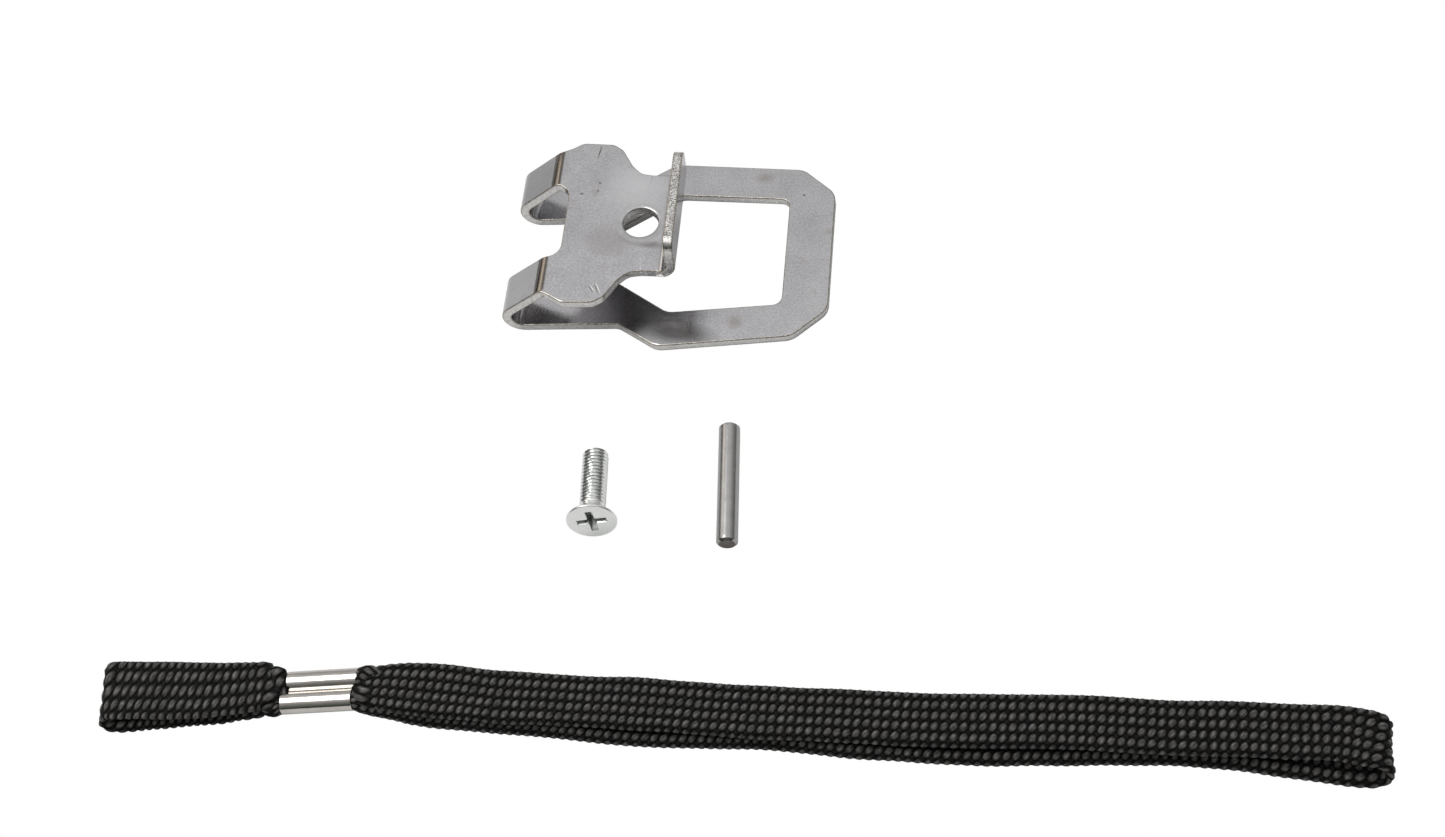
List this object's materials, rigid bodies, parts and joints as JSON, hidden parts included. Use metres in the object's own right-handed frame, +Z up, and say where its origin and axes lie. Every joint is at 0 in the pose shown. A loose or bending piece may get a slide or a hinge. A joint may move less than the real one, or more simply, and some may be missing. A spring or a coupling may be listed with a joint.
{
  "type": "stair gate latch kit",
  "caption": "Loose latch kit for a fold-down stair gate: bent steel latch plate with ring and pin knuckles, hinge pin, countersunk screw and a braided pull strap.",
  "frame": {"origin": "middle of the whole kit's outline, on the surface that everything lies on", "axes": "+X along the strap and the latch, from the strap's small loop and the latch's hinge end to the grip loop and the ring's far end; +Y from the strap to the latch; +Z up"},
  "size_m": [0.2252, 0.1303, 0.0204],
  "materials": {
    "plate_steel": "satin nickel-grey zinc plate, slightly mottled, with sheared edges",
    "pin_steel": "ground steel, chamfered ends",
    "screw_zinc": "bright clear zinc",
    "ferrule_nickel": "bright nickel, drawn",
    "black_braid": "flat tubular braid of black polyester yarn"
  },
  "bodies": {
    "latch": {"latch_plate": "plate_steel"},
    "pin": {"hinge_pin": "pin_steel"},
    "screw": {"countersunk_screw": "screw_zinc"},
    "strap_clip": {"strap_ferrule": "ferrule_nickel", "strap_core": "black_braid"},
    "anchor_end": {"strap_anchor_loop": "black_braid"},
    "grip_end": {"strap_grip_loop": "black_braid"}
  },
  "joints": [
    {"name": "pin_turn", "type": "hinge", "parent": "latch", "child": "pin", "pos_m": [-0.0004, -0.01035, 0.002], "axis": [-0.0645, 0.9979, 0], "continuous": true},
    {"name": "screw_turn", "type": "hinge", "parent": "latch", "child": "screw", "pos_m": [-0.0246, -0.01975, 0.00469], "axis": [-0.1, 0.984, -0.1474], "continuous": true},
    {"name": "strap_lift", "type": "slide", "parent": "latch", "child": "strap_clip", "axis": [0, 0, 1], "range_m": [0, 0.06]},
    {"name": "grip_flex", "type": "hinge", "parent": "strap_clip", "child": "grip_end", "pos_m": [-0.06178, -0.05229, 0.002], "axis": [0.0837, -0.9965, 0], "range_deg": [0, 75]},
    {"name": "anchor_flex", "type": "hinge", "parent": "strap_clip", "child": "anchor_end", "pos_m": [-0.07982, -0.05381, 0.002], "axis": [-0.0837, 0.9965, 0], "range_deg": [0, 75]}
  ]
}
